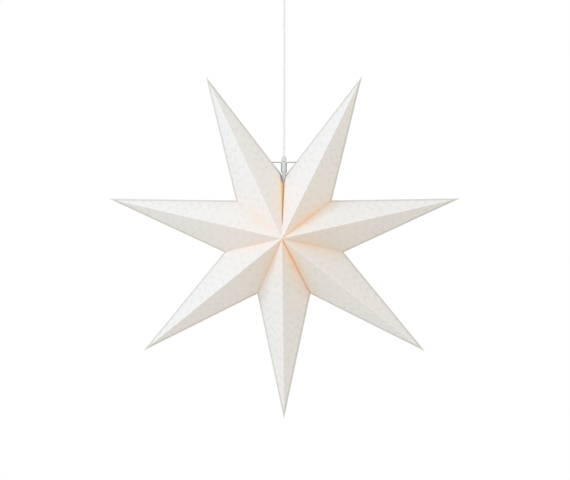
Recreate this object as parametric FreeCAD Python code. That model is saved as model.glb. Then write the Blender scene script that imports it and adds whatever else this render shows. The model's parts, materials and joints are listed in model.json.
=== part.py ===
import FreeCAD, Part
import os
from math import cos, hypot, pi, radians, sin, sqrt, tan

# Seven-pointed folded paper star, hung by a straight flex from a ceiling fitting.
# Millimetres, +Z up, the star faces -Y. The origin is on the ceiling, where the fitting screws on.

Vec = FreeCAD.Vector
X_AXIS, Y_AXIS, Z_AXIS = Vec(1, 0, 0), Vec(0, 1, 0), Vec(0, 0, 1)

# --- driving dimensions: paper star ---
POINTS = 7                 # the star's points
STAR_RADIUS = 359.0        # centre to the tip of a point
FOOT_RADIUS = 122.0        # centre to the foot of a valley
HALF_DEPTH = 100.0         # centre plane to the front or back peak
PAPER = 0.25               # card thickness
RIDGE_FOLDED = 6.81        # angle left between the two sides of a ridge when the star is folded, degrees
VALLEY_FOLDED = 10.47      # the same in a valley
PEAK_SLACK = 1.3           # extra trim of the back ridges at the back peak, used up half way through the fold
OUTLINE_GAP = 0.2          # from the outline crease to the card on each side
CORNER_CUT = 1.0           # a panel's sharp corners are blunted by this much
FOOT_CUT = 2.0             # and its corner at the valley's foot by this much
OPENING_ALONG_OUTLINE = 16.0   # the rounded top opening, measured from the valley's foot along the outline
OPENING_ALONG_SEAM = 13.0      # and along the seam
NECK_IN_OPENING = 0.8          # the curve passes the holder's neck at this distance
TAB_WIDTH = 8.0            # seam flap folded inwards
TAB_LENGTH = 42.0
TAB_SLANT = 6.0            # how far the flap's ends slant in
TAB_GAP = 0.6              # between the two seam flaps
WEB_LAP = 1.0              # how far the flap's web lies on the panel
STUD_ALONG_SEAM = 58.0     # press stud's distance from the valley's foot
STUD_DEPTH = 4.64          # and from the seam's crease into the flap
STUD_HOLE_RADIUS = 1.5
STUD_RADIUS = 3.0
STUD_CLEARANCE = 0.35
STUD_HEAD = 0.8            # thickness of the stud's head
STUD_RING = 1.6            # thickness of the ring it snaps into
STUD_PROUD = 1.4           # how far the post stands into the ring

# --- wire hanger ---
WIRE_RADIUS = 0.8
HOLE_ALONG_OUTLINE = 38.5  # wire hole's distance from the valley's foot
WIRE_HOLE_CLEARANCE = 0.7
WIRE_PAST_CARD = 3.0
WIRE_CORNER = 2.0          # bend radius at the wire's corners
NECK_CLEARANCE = 0.4
LOOP_DROP = 19.8           # from the neck's top down to the wire's loop
LOOP_CLEARANCE = 0.35      # between the loop and the collar that carries it

# --- lamp holder and bulb ---
NECK_RADIUS = 3.75
NECK_LENGTH = 42.0
COLLAR_RADIUS = 6.4
COLLAR_THICKNESS = 1.5
HOLDER_RADIUS = 13.5
HOLDER_LENGTH = 54.0       # cap cone and sleeve together
CAP_LENGTH = 22.0
CAP_SKIRT = 9.9            # straight part of the cap below its cone
CAP_CROWN = 2.0            # thickness of the cap where the neck joins it
HOLDER_WALL = 1.2
SLEEVE_FLOOR = 3.0         # thickness of the floor between the cap and the screw shell
SLEEVE_WALL = 2.7
SLEEVE_BAND = 6.0          # full-width band at the sleeve's top
SLEEVE_RIM = 2.0           # and at its foot
SLEEVE_STEP = 0.5          # how far the sleeve is waisted between them
SLEEVE_RAMP = 1.0
SCREW_RADIUS = 7.0         # bulb's screw cap
SCREW_LENGTH = 18.0
SCREW_PITCH = 2.82
THREAD_DEPTH = 1.0
SCREW_CLEARANCE = 0.4
SHELL_WALL = 0.8
SHELL_LENGTH = 16.0
TONGUE_LENGTH = 8.0        # centre contact: a tongue with a button under it
TONGUE_WIDTH = 4.0
TONGUE_THICKNESS = 0.5
BUTTON_RADIUS = 1.6
BUTTON_HEIGHT = 1.5
CONTACT_CLEARANCE = 0.3
TIP_RADIUS = 2.2           # bulb's contact tip
TIP_HEIGHT = 1.5
INSULATOR_TOP_RADIUS = 2.8
INSULATOR_RADIUS = 5.6
INSULATOR_HEIGHT = 2.5
BULB_RADIUS = 22.5
BULB_LENGTH = 76.0
NOZZLE_RADIUS = 8.4        # bulb's plastic collar, just under the screw cap
NOZZLE_HEIGHT = 1.5
COLLAR_FOOT_RADIUS = 12.0  # and where it meets the globe
COLLAR_BAND = 3.0
GLOBE_WALL = 1.0
BOARD_RADIUS = 9.0
BOARD_THICKNESS = 1.2
CHIPS = 6                  # light chips on the board
CHIP_SIZE = 2.4
CHIP_HEIGHT = 0.8
CHIP_RING_RADIUS = 5.5
GRIP_RADIUS = 5.5
GRIP_LENGTH = 10.5
GRIP_BARREL = 4.0          # straight part of the grip, below its taper
GRIP_TOP_RADIUS = 3.6

# --- flex ---
FLEX_RADIUS = 2.5
FLEX_LENGTH = 350.0
FLEX_BORE_CLEARANCE = 0.15
GRIP_BORE = 6.0            # how far the flex goes into the cord grip
CLAMP_BORE = 8.0           # how far it goes into the clamp in the cup

# --- ceiling fitting ---
PLATE_CLEARANCE = 2.5      # between the plate's ends and the inside of the cup
PLATE_WIDTH = 24.0
PLATE_THICKNESS = 2.0
EAR_HEIGHT = 14.0          # ears bent down at the plate's ends
EAR_WIDTH = 12.0
SCREW_HOLE_RADIUS = 2.25
SCREW_HOLE_SPACING = 60.0
HOOK_WIRE = 1.5
HOOK_BEND = 6.0
HOOK_DROP = 16.0
HOOK_END = 3.0             # straight end past the hook's bend
NUT_RADIUS = 4.0
NUT_HEIGHT = 3.0
LINK_WIRE = 1.2
LINK_BEND = 3.0
LINK_LENGTH = 14.0
EYE_WIRE = 1.2
EYE_BEND = 3.0
EYE_LENGTH = 5.0           # from the clamp's top to where the eye bends over
CLAMP_RADIUS = 7.0
CLAMP_LENGTH = 14.0
CLAMP_SCREW_RADIUS = 1.5
CLAMP_SCREW_SUNK = 0.3
BLOCK_LENGTH = 16.0        # terminal block
BLOCK_WIDTH = 16.0
BLOCK_HEIGHT = 9.0
BLOCK_FROM_CENTRE = 10.0
BLOCK_SCREW_RADIUS = 1.5
BLOCK_SCREW_SPACING = 8.0
BLOCK_SCREW_HOLE = 3.0
BLOCK_SCREW_LENGTH = 2.2
CUP_RADIUS = 50.0
CUP_HEIGHT = 66.0
CUP_WALL = 1.5
CUP_BELOW_CEILING = 0.5
CUP_SIDE = 29.7            # down to the end of the cup's straight side
CUP_SHOULDER_IN = 6.0      # its rounded shoulder, in and down
CUP_SHOULDER_DOWN = 12.0
CUP_BOWL_RADIUS = 27.5     # where the bowl turns flatter
CUP_BOWL_RISE = 8.0
CUP_LAND = 4.0             # flat ring round the flex hole
CUP_HOLE_RADIUS = 8.5
CUP_SCREW_RADIUS = 2.0
CUP_SCREW_FIT = 0.02
CUP_SCREW_ABOVE_EAR = 5.0
CUP_SCREW_HEAD_RADIUS = 4.0
CUP_SCREW_HEAD = 3.0
CUP_SCREW_HEAD_GAP = 0.2

# --- worked out: star geometry, seen from the front ---
HALF_LEAF = pi / POINTS
PLATE_LENGTH = 2 * (CUP_RADIUS - CUP_WALL - PLATE_CLEARANCE)
HOOK_BOTTOM = -PLATE_THICKNESS - HOOK_DROP
LINK_TOP = HOOK_BOTTOM                       # the link turns about the hook's lowest point
EYE_TOP = LINK_TOP - LINK_LENGTH - LINK_BEND  # the clamp's eye turns about the link's lowest point
CLAMP_TOP = EYE_TOP - EYE_LENGTH
FLEX_TOP = CLAMP_TOP - CLAMP_LENGTH + CLAMP_BORE
FLEX_BOTTOM = FLEX_TOP - FLEX_LENGTH
GRIP_TOP = FLEX_BOTTOM + GRIP_BORE
NECK_TOP = GRIP_TOP - GRIP_LENGTH
BAR_Z = NECK_TOP - 2.0 * WIRE_RADIUS         # the hanger's bar runs just under the cord grip


def polar(radius, turn):
    """Point of the star's centre plane; turn is measured from straight down, towards +X."""
    return Vec(radius * sin(turn), 0, -radius * cos(turn))


def outline_point(distance):
    """Place on the outline crease beside the top opening, relative to the star's centre."""
    foot, tip = polar(FOOT_RADIUS, pi), polar(STAR_RADIUS, pi - HALF_LEAF)
    return foot + (tip - foot).normalize() * distance


STAR_Z = BAR_Z - outline_point(HOLE_ALONG_OUTLINE).z
CENTRE = Vec(0, 0, STAR_Z)
PEAKS = {"front": CENTRE - Y_AXIS * HALF_DEPTH, "back": CENTRE + Y_AXIS * HALF_DEPTH}


def save(name, shape):
    """Write one node, after checking that it is sound."""
    if not shape.isValid() or shape.Volume <= 0:
        raise ValueError(name + " is not a sound solid")
    shape.exportStep("parts/" + name + ".step")


def fused(shapes):
    return shapes[0].multiFuse(shapes[1:]).removeSplitter()


def revolved(profile):
    """Solid of revolution about Z from (radius, height) points."""
    points = [Vec(radius, 0, height) for radius, height in profile]
    wire = Part.makePolygon(points + points[:1])
    return Part.Face(wire).revolve(Vec(0, 0, 0), Z_AXIS, 360)


def swept(path_edges, radius):
    """Round bar along a path of straight and arc edges."""
    path = Part.Wire(path_edges)
    start = path_edges[0].valueAt(path_edges[0].FirstParameter)
    along = path_edges[0].tangentAt(path_edges[0].FirstParameter)
    ring = Part.Wire(Part.Circle(start, along, radius).toShape())
    return path.makePipeShell([ring], True, False)


def line(a, b):
    return Part.LineSegment(a, b).toShape()


def arc(a, b, c):
    return Part.Arc(a, b, c).toShape()


# ---------------------------------------------------------------- paper
def crossing(p, p_way, q, q_way):
    """Where two lines of one plane meet."""
    normal = p_way.cross(q_way)
    s = (q - p).cross(q_way).dot(normal) / normal.dot(normal)
    return p + p_way * s


def facet_frame(face, tip, foot):
    """The facet's own axes: ridge way, valley way and the normal pointing out of the star."""
    peak = PEAKS[face]
    ridge = (tip - peak).normalize()
    valley = (foot - peak).normalize()
    normal = ridge.cross(valley).normalize()
    if normal.dot(peak - CENTRE) < 0:
        normal = normal * -1
    return peak, ridge, valley, normal


def inward(edge_way, towards):
    """Unit vector in the facet, square to an edge, pointing at the given way."""
    return (towards - edge_way * towards.dot(edge_way)).normalize()


def facet(face, tip_turn, foot_turn, at_seam=False):
    """One triangular panel between a ridge, a valley and the outline."""
    tip = CENTRE + polar(STAR_RADIUS, tip_turn)
    foot = CENTRE + polar(FOOT_RADIUS, foot_turn)
    peak, ridge, valley, normal = facet_frame(face, tip, foot)
    half = PAPER / 2
    ridge_trim = half / tan(radians(RIDGE_FOLDED / 2))
    valley_trim = half / tan(radians(VALLEY_FOLDED / 2))
    peak_trim = ridge_trim + (PEAK_SLACK if face == "back" else 0.0)
    from_ridge, from_valley = inward(ridge, valley), inward(valley, ridge)
    outline = (tip - foot).normalize()
    from_outline = inward(outline, peak - foot)

    ridge_start = peak + from_ridge * peak_trim
    ridge_way = (tip + from_ridge * ridge_trim - ridge_start).normalize()
    valley_start = peak + from_valley * valley_trim
    outline_start = foot + from_outline * OUTLINE_GAP

    peak_corner = crossing(ridge_start, ridge_way, valley_start, valley)
    peak_way = (ridge + valley).normalize()
    peak_cut = (peak_corner + peak_way * CORNER_CUT, inward(peak_way, ridge))
    tip_corner = crossing(ridge_start, ridge_way, outline_start, outline)
    tip_cut = (tip_corner - ridge * CORNER_CUT, inward(ridge, valley))
    corners = [
        crossing(ridge_start, ridge_way, *peak_cut),
        crossing(ridge_start, ridge_way, *tip_cut),
        crossing(outline_start, outline, *tip_cut),
    ]
    edges = [line(corners[0], corners[1]), line(corners[1], corners[2])]
    if at_seam:
        high = outline_start + outline * OPENING_ALONG_OUTLINE
        low = foot - valley * OPENING_ALONG_SEAM + from_valley * valley_trim
        back = outline * OPENING_ALONG_OUTLINE - valley * OPENING_ALONG_SEAM
        bulge = foot + back * ((NECK_RADIUS + NECK_IN_OPENING) / hypot(back.x, back.y))
        edges += [line(corners[2], high), arc(high, bulge, low)]
        last = low
    else:
        foot_corner = crossing(outline_start, outline, valley_start, valley)
        foot_way = (outline - valley).normalize()
        foot_cut = (foot_corner + foot_way * FOOT_CUT, inward(foot_way, outline))
        high = crossing(outline_start, outline, *foot_cut)
        last = crossing(valley_start, valley, *foot_cut)
        edges += [line(corners[2], high), line(high, last)]
    end = crossing(valley_start, valley, *peak_cut)
    edges += [line(last, end), line(end, corners[0])]
    plate = Part.Face(Part.Wire(edges)).extrude(normal * PAPER)
    plate.translate(normal * -half)
    if not at_seam:
        return plate

    hole_at = CENTRE + outline_point(HOLE_ALONG_OUTLINE)
    if tip.x < 0:
        hole_at.x = -hole_at.x
    return fused([plate.cut(through(hole_at, WIRE_RADIUS + WIRE_HOLE_CLEARANCE)), seam_tab(face, foot, tip)])


def through(at, radius):
    """Round bar along X that cuts a hole through nearby card."""
    length = 8 * radius
    return Part.makeCylinder(radius, length, at - X_AXIS * (length / 2), X_AXIS)


def seam_frame(face, foot):
    """Way along the seam from the peak, and the way into the star at right angles to it."""
    valley = (foot - PEAKS[face]).normalize()
    inwards = valley.cross(X_AXIS).normalize()
    if inwards.dot(PEAKS[face] - CENTRE) > 0:
        inwards = inwards * -1
    return valley, inwards


def seam_tab(face, foot, tip):
    """Flap folded inwards at the seam, flat against its partner, with the press stud's hole."""
    valley, inwards = seam_frame(face, foot)
    side = 1 if tip.x > 0 else -1
    valley_trim = (PAPER / 2) / tan(radians(VALLEY_FOLDED / 2))
    middle = foot - valley * STUD_ALONG_SEAM
    start = middle - valley * (TAB_LENGTH / 2) + X_AXIS * side * (TAB_GAP / 2)
    end = middle + valley * (TAB_LENGTH / 2) + X_AXIS * side * (TAB_GAP / 2)
    root = inwards * -(TAB_GAP / 2 + PAPER)       # the flap starts inside the thickness of the panel
    loop = [start + root, end + root, end + inwards * TAB_WIDTH - valley * TAB_SLANT,
            start + inwards * TAB_WIDTH + valley * TAB_SLANT]
    tab = Part.Face(Part.makePolygon(loop + loop[:1])).extrude(X_AXIS * side * PAPER)
    # short web from the flap's fold to the trimmed edge of the panel
    _, _, _, normal = facet_frame(face, tip, foot)
    from_valley = inward(valley, (tip - PEAKS[face]).normalize())
    reach = from_valley * (valley_trim + WEB_LAP)
    ends = [middle - valley * (TAB_LENGTH / 2), middle + valley * (TAB_LENGTH / 2)]
    web_loop = ends + [ends[1] + reach, ends[0] + reach]
    web = Part.Face(Part.makePolygon(web_loop + web_loop[:1])).extrude(normal * PAPER)
    web.translate(normal * (-PAPER / 2))
    near, far = TAB_GAP / 2, STAR_RADIUS
    keep = Part.makeBox(far, 2 * far, 2 * far, CENTRE + Vec(near if side > 0 else -near - far, -far, -far))
    tab = fused([tab, web.common(keep)])
    return tab.cut(through(middle + inwards * STUD_DEPTH, STUD_HOLE_RADIUS))


def stud_centre(face):
    """Where the stud crosses the seam plane."""
    foot = CENTRE + polar(FOOT_RADIUS, pi)
    valley, inwards = seam_frame(face, foot)
    return foot - valley * STUD_ALONG_SEAM + inwards * STUD_DEPTH


def build_paper():
    """Twenty-eight panels, named by point, face and the side of the ridge they lie on."""
    left_names = ["lower_left", "left", "upper_left"]
    right_names = ["lower_right", "right", "upper_right"]
    for face in ("front", "back"):
        save("bottom_point_" + face + "_left", facet(face, 0, -HALF_LEAF))
        save("bottom_point_" + face + "_right", facet(face, 0, HALF_LEAF))
        for side, names in ((-1, left_names), (1, right_names)):
            for order, name in enumerate(names, start=1):
                tip_turn = side * 2 * order * HALF_LEAF
                lower = facet(face, tip_turn, tip_turn - side * HALF_LEAF)
                upper = facet(face, tip_turn, tip_turn + side * HALF_LEAF, at_seam=order == len(names))
                save(name + "_point_" + face + "_lower", lower)
                save(name + "_point_" + face + "_upper", upper)


def build_studs():
    """Press studs through the seam flaps: the post sits on the left flap, the ring on the right one."""
    flap_face = TAB_GAP / 2
    flap_back = flap_face + PAPER
    for face in ("front", "back"):
        at = stud_centre(face)
        base = Part.makeCylinder(STUD_RADIUS, STUD_HEAD, at - X_AXIS * (flap_back + STUD_HEAD), X_AXIS)
        post_length = flap_back * 2 + STUD_PROUD
        post_radius = STUD_HOLE_RADIUS - STUD_CLEARANCE
        post = Part.makeCylinder(post_radius, post_length, at - X_AXIS * flap_back, X_AXIS)
        save("stud_post_" + face, fused([base, post]))
        ring = Part.makeCylinder(STUD_RADIUS, STUD_RING, at + X_AXIS * flap_back, X_AXIS)
        socket = Part.makeCylinder(STUD_HOLE_RADIUS, flap_back + 2 * STUD_RING, at, X_AXIS)
        save("stud_ring_" + face, ring.cut(socket))


# ---------------------------------------------------------------- hanger, holder, bulb
def build_hanger():
    """One bent wire: a loop round the neck under the cord grip, and a bar out to each side."""
    leg = NECK_RADIUS + NECK_CLEARANCE + WIRE_RADIUS
    loop_z = NECK_TOP - LOOP_DROP
    corner = WIRE_CORNER
    reach = outline_point(HOLE_ALONG_OUTLINE).x + WIRE_PAST_CARD
    k = corner * (1 - sqrt(0.5))
    edges = [line(Vec(-reach, 0, BAR_Z), Vec(-leg - corner, 0, BAR_Z)),
             arc(Vec(-leg - corner, 0, BAR_Z), Vec(-leg - k, 0, BAR_Z - k), Vec(-leg, 0, BAR_Z - corner)),
             line(Vec(-leg, 0, BAR_Z - corner), Vec(-leg, 0, loop_z + corner)),
             arc(Vec(-leg, 0, loop_z + corner), Vec(-leg, k, loop_z + k), Vec(-leg, corner, loop_z)),
             arc(Vec(-leg, corner, loop_z), Vec(0, leg + corner, loop_z), Vec(leg, corner, loop_z)),
             arc(Vec(leg, corner, loop_z), Vec(leg, k, loop_z + k), Vec(leg, 0, loop_z + corner)),
             line(Vec(leg, 0, loop_z + corner), Vec(leg, 0, BAR_Z - corner)),
             arc(Vec(leg, 0, BAR_Z - corner), Vec(leg + k, 0, BAR_Z - k), Vec(leg + corner, 0, BAR_Z)),
             line(Vec(leg + corner, 0, BAR_Z), Vec(reach, 0, BAR_Z))]
    save("wire_hanger", swept(edges, WIRE_RADIUS))
    return loop_z


def build_holder(loop_z):
    """Cord grip, neck and cap, sleeve, screw shell and the two contacts."""
    grip = revolved([(0, NECK_TOP), (GRIP_RADIUS, NECK_TOP), (GRIP_RADIUS, NECK_TOP + GRIP_BARREL),
                     (GRIP_TOP_RADIUS, GRIP_TOP), (0, GRIP_TOP)])
    bore = Part.makeCylinder(FLEX_RADIUS + FLEX_BORE_CLEARANCE, GRIP_BORE, Vec(0, 0, FLEX_BOTTOM), Z_AXIS)
    save("cord_grip", grip.cut(bore))

    neck_foot = NECK_TOP - NECK_LENGTH
    collar_top = loop_z - WIRE_RADIUS - LOOP_CLEARANCE
    cap_foot = neck_foot - CAP_LENGTH
    inner = HOLDER_RADIUS - HOLDER_WALL
    slope = cap_foot + CAP_SKIRT
    save("holder_cap", revolved([
        (0, NECK_TOP), (NECK_RADIUS, NECK_TOP), (NECK_RADIUS, collar_top), (COLLAR_RADIUS, collar_top),
        (COLLAR_RADIUS, collar_top - COLLAR_THICKNESS), (NECK_RADIUS, collar_top - COLLAR_THICKNESS),
        (NECK_RADIUS, neck_foot), (HOLDER_RADIUS, slope), (HOLDER_RADIUS, cap_foot),
        (inner, cap_foot), (inner, slope - HOLDER_WALL), (NECK_RADIUS, neck_foot - CAP_CROWN),
        (0, neck_foot - CAP_CROWN)]))

    sleeve_foot = neck_foot - HOLDER_LENGTH
    floor_low = cap_foot - SLEEVE_FLOOR
    waist, bore = HOLDER_RADIUS - SLEEVE_STEP, HOLDER_RADIUS - SLEEVE_WALL
    save("holder_sleeve", revolved([
        (0, cap_foot), (HOLDER_RADIUS, cap_foot), (HOLDER_RADIUS, cap_foot - SLEEVE_BAND),
        (waist, cap_foot - SLEEVE_BAND - SLEEVE_RAMP), (waist, sleeve_foot + SLEEVE_RIM + SLEEVE_RAMP),
        (HOLDER_RADIUS, sleeve_foot + SLEEVE_RIM), (HOLDER_RADIUS, sleeve_foot), (bore, sleeve_foot),
        (bore, floor_low), (0, floor_low)]))

    thread_out = SCREW_RADIUS + SCREW_CLEARANCE
    shell_foot = floor_low - SHELL_LENGTH
    save("screw_shell", revolved([(thread_out, floor_low), (thread_out + SHELL_WALL, floor_low),
                                  (thread_out + SHELL_WALL, shell_foot), (thread_out, shell_foot)]))
    tongue = Part.makeBox(TONGUE_LENGTH, TONGUE_WIDTH, TONGUE_THICKNESS,
                          Vec(-TONGUE_LENGTH / 2, -TONGUE_WIDTH / 2, floor_low - TONGUE_THICKNESS))
    button_foot = floor_low - TONGUE_THICKNESS - BUTTON_HEIGHT
    button = Part.makeCylinder(BUTTON_RADIUS, BUTTON_HEIGHT, Vec(0, 0, button_foot), Z_AXIS)
    save("centre_contact", fused([tongue, button]))
    return button_foot


def build_bulb(contact_z):
    """Screw-in globe bulb: tip, insulator, threaded cap, plastic collar, globe and the light board inside."""
    tip_top = contact_z - CONTACT_CLEARANCE
    tip_foot = tip_top - TIP_HEIGHT
    save("bulb_tip", Part.makeCylinder(TIP_RADIUS, TIP_HEIGHT, Vec(0, 0, tip_foot), Z_AXIS))
    insulator_foot = tip_foot - INSULATOR_HEIGHT
    save("bulb_insulator", revolved([(0, tip_foot), (INSULATOR_TOP_RADIUS, tip_foot),
                                     (INSULATOR_RADIUS, insulator_foot), (0, insulator_foot)]))
    cap_foot = tip_top - SCREW_LENGTH
    root = SCREW_RADIUS - THREAD_DEPTH
    turns = int((insulator_foot - cap_foot) / SCREW_PITCH)
    profile = [(0, insulator_foot), (root, insulator_foot)]
    for turn in range(turns):
        top = insulator_foot - turn * SCREW_PITCH
        profile += [(SCREW_RADIUS, top - SCREW_PITCH / 2), (root, top - SCREW_PITCH)]
    profile += [(root, cap_foot), (0, cap_foot)]
    save("bulb_screw_cap", revolved(profile))

    globe_foot = tip_top - BULB_LENGTH
    globe_z = globe_foot + BULB_RADIUS
    joint_z = globe_z + sqrt(BULB_RADIUS ** 2 - COLLAR_FOOT_RADIUS ** 2)
    save("bulb_collar", revolved([
        (0, cap_foot), (SCREW_RADIUS, cap_foot), (NOZZLE_RADIUS, cap_foot - NOZZLE_HEIGHT),
        (COLLAR_FOOT_RADIUS, joint_z + COLLAR_BAND), (COLLAR_FOOT_RADIUS, joint_z), (0, joint_z)]))
    middle = Vec(0, 0, globe_z)
    ball = Part.makeSphere(BULB_RADIUS, middle).cut(Part.makeSphere(BULB_RADIUS - GLOBE_WALL, middle))
    above = Part.makeCylinder(2 * BULB_RADIUS, 2 * BULB_RADIUS, Vec(0, 0, joint_z), Z_AXIS)
    save("bulb_globe", ball.cut(above))
    board_foot = joint_z - BOARD_THICKNESS
    pieces = [Part.makeCylinder(BOARD_RADIUS, BOARD_THICKNESS, Vec(0, 0, board_foot), Z_AXIS)]
    for n in range(CHIPS):
        turn = 2 * pi * n / CHIPS
        corner = Vec(CHIP_RING_RADIUS * cos(turn) - CHIP_SIZE / 2,
                     CHIP_RING_RADIUS * sin(turn) - CHIP_SIZE / 2, board_foot - CHIP_HEIGHT)
        pieces.append(Part.makeBox(CHIP_SIZE, CHIP_SIZE, CHIP_HEIGHT, corner))
    save("light_board", fused(pieces))


# ---------------------------------------------------------------- flex and ceiling fitting
def stadium_yz(top_z, length, bend, wire):
    """Closed oval wire loop in the YZ plane."""
    low_z = top_z - length
    edges = [arc(Vec(0, bend, top_z), Vec(0, 0, top_z + bend), Vec(0, -bend, top_z)),
             line(Vec(0, -bend, top_z), Vec(0, -bend, low_z)),
             arc(Vec(0, -bend, low_z), Vec(0, 0, low_z - bend), Vec(0, bend, low_z)),
             line(Vec(0, bend, low_z), Vec(0, bend, top_z))]
    return swept(edges, wire)


def build_flex():
    save("flex", Part.makeCylinder(FLEX_RADIUS, FLEX_LENGTH, Vec(0, 0, FLEX_BOTTOM), Z_AXIS))


def build_bracket():
    """Bracket plate with its two bent ears, the hook and its nut."""
    under = -PLATE_THICKNESS
    end = PLATE_LENGTH / 2
    plate = Part.makeBox(PLATE_LENGTH, PLATE_WIDTH, PLATE_THICKNESS, Vec(-end, -PLATE_WIDTH / 2, under))
    ears = [Part.makeBox(PLATE_THICKNESS, EAR_WIDTH, EAR_HEIGHT, Vec(x, -EAR_WIDTH / 2, -EAR_HEIGHT))
            for x in (-end, end - PLATE_THICKNESS)]
    plate = fused([plate] + ears)
    for x in (-SCREW_HOLE_SPACING / 2, SCREW_HOLE_SPACING / 2):
        plate = plate.cut(Part.makeCylinder(SCREW_HOLE_RADIUS, PLATE_THICKNESS, Vec(x, 0, under), Z_AXIS))
    shank = Part.makeCylinder(HOOK_WIRE, PLATE_THICKNESS, Vec(HOOK_BEND, 0, under), Z_AXIS)
    save("ceiling_plate", plate.cut(shank).cut(cup_screw_bore()))

    bend_z = HOOK_BOTTOM + HOOK_BEND
    hook = swept([line(Vec(HOOK_BEND, 0, 0), Vec(HOOK_BEND, 0, bend_z)),
                  arc(Vec(HOOK_BEND, 0, bend_z), Vec(0, 0, HOOK_BOTTOM), Vec(-HOOK_BEND, 0, bend_z)),
                  line(Vec(-HOOK_BEND, 0, bend_z), Vec(-HOOK_BEND, 0, bend_z + HOOK_END))], HOOK_WIRE)
    save("hook", hook)
    nut_centre = Vec(HOOK_BEND, 0, under)
    corners = [nut_centre + Vec(NUT_RADIUS * cos(turn), NUT_RADIUS * sin(turn), 0)
               for turn in (n * pi / 3 for n in range(7))]
    nut = Part.Face(Part.makePolygon(corners)).extrude(Z_AXIS * -NUT_HEIGHT)
    save("hook_nut", nut.cut(Part.makeCylinder(HOOK_WIRE, NUT_HEIGHT, nut_centre, Z_AXIS * -1)))


def build_clamp():
    """Link on the hook, and the cord clamp with its wire eye and side screw."""
    save("swing_link", stadium_yz(LINK_TOP, LINK_LENGTH, LINK_BEND, LINK_WIRE))
    eye_edges = [line(Vec(EYE_BEND, 0, CLAMP_TOP), Vec(EYE_BEND, 0, EYE_TOP)),
                 arc(Vec(EYE_BEND, 0, EYE_TOP), Vec(0, 0, EYE_TOP + EYE_BEND), Vec(-EYE_BEND, 0, EYE_TOP)),
                 line(Vec(-EYE_BEND, 0, EYE_TOP), Vec(-EYE_BEND, 0, CLAMP_TOP))]
    save("clamp_eye", swept(eye_edges, EYE_WIRE))
    foot = CLAMP_TOP - CLAMP_LENGTH
    body = Part.makeCylinder(CLAMP_RADIUS, CLAMP_LENGTH, Vec(0, 0, foot), Z_AXIS)
    bore_radius = FLEX_RADIUS + FLEX_BORE_CLEARANCE
    bore = Part.makeCylinder(bore_radius, CLAMP_BORE, Vec(0, 0, foot), Z_AXIS)
    screw_z = foot + CLAMP_BORE / 2
    side_bore = Part.makeCylinder(CLAMP_SCREW_RADIUS, CLAMP_RADIUS, Vec(FLEX_RADIUS, 0, screw_z), X_AXIS)
    save("cord_clamp", body.cut(bore).cut(side_bore))
    screw_length = CLAMP_RADIUS - bore_radius - CLAMP_SCREW_SUNK
    screw_tip = Vec(bore_radius, 0, screw_z)
    save("clamp_screw", Part.makeCylinder(CLAMP_SCREW_RADIUS, screw_length, screw_tip, X_AXIS))


def build_terminal_block():
    """Terminal block under the plate, with two screws sunk in its face."""
    block_foot = -PLATE_THICKNESS - BLOCK_HEIGHT
    outer = -BLOCK_FROM_CENTRE - BLOCK_LENGTH
    block = Part.makeBox(BLOCK_LENGTH, BLOCK_WIDTH, BLOCK_HEIGHT, Vec(outer, -BLOCK_WIDTH / 2, block_foot))
    heads = []
    for y in (-BLOCK_SCREW_SPACING / 2, BLOCK_SCREW_SPACING / 2):
        at = Vec(outer + BLOCK_LENGTH / 2, y, block_foot)
        block = block.cut(Part.makeCylinder(BLOCK_SCREW_RADIUS, BLOCK_SCREW_HOLE, at, Z_AXIS))
        sunk = Z_AXIS * (BLOCK_SCREW_HOLE - BLOCK_SCREW_LENGTH)
        heads.append(Part.makeCylinder(BLOCK_SCREW_RADIUS, BLOCK_SCREW_LENGTH, at + sunk, Z_AXIS))
    save("terminal_block", block)
    save("terminal_screws", Part.makeCompound(heads))


def cup_screw_bore():
    """Bar along X for the holes of the cup's two screws, through the cup and the plate's ears."""
    reach = 2 * CUP_RADIUS
    end = Vec(-reach, 0, CUP_SCREW_ABOVE_EAR - EAR_HEIGHT)
    return Part.makeCylinder(CUP_SCREW_RADIUS, 2 * reach, end, X_AXIS)


def build_cup():
    """Ceiling cup and the two screws that hold it to the plate's ears."""
    rim, side_end, wall = -CUP_BELOW_CEILING, -CUP_SIDE, CUP_WALL
    shoulder = (CUP_RADIUS - CUP_SHOULDER_IN, side_end - CUP_SHOULDER_DOWN)
    bowl = (CUP_BOWL_RADIUS, -CUP_HEIGHT + CUP_BOWL_RISE)
    land = (CUP_HOLE_RADIUS + CUP_LAND, -CUP_HEIGHT)
    outer = [(CUP_RADIUS, rim), (CUP_RADIUS, side_end), shoulder, bowl, land, (CUP_HOLE_RADIUS, -CUP_HEIGHT)]
    inner = [(CUP_HOLE_RADIUS, -CUP_HEIGHT + wall), (land[0], land[1] + wall),
             (bowl[0] - wall / 2, bowl[1] + wall), (shoulder[0] - wall, shoulder[1] + wall / 2),
             (CUP_RADIUS - wall, side_end), (CUP_RADIUS - wall, rim)]
    save("ceiling_cup", revolved(outer + inner).cut(cup_screw_bore()))
    screws = []
    ear_face = PLATE_LENGTH / 2 - PLATE_THICKNESS
    under_head = CUP_RADIUS + CUP_SCREW_HEAD_GAP
    for side in (-1, 1):
        way = X_AXIS * side
        axis = Vec(0, 0, CUP_SCREW_ABOVE_EAR - EAR_HEIGHT)
        shaft_length = under_head - ear_face + CUP_SCREW_HEAD_GAP
        shaft = Part.makeCylinder(CUP_SCREW_RADIUS - CUP_SCREW_FIT, shaft_length,
                                  axis + way * ear_face, way)
        head = Part.makeCylinder(CUP_SCREW_HEAD_RADIUS, CUP_SCREW_HEAD, axis + way * under_head, way)
        screws.append(fused([shaft, head]))
    save("cup_screws", Part.makeCompound(screws))


os.makedirs("parts", exist_ok=True)
build_paper()
build_studs()
holder_bottom = build_holder(build_hanger())
build_bulb(holder_bottom)
build_flex()
build_bracket()
build_clamp()
build_terminal_block()
build_cup()
print("star centre height", round(STAR_Z, 2), "valley foot radius", round(FOOT_RADIUS, 2))
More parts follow.
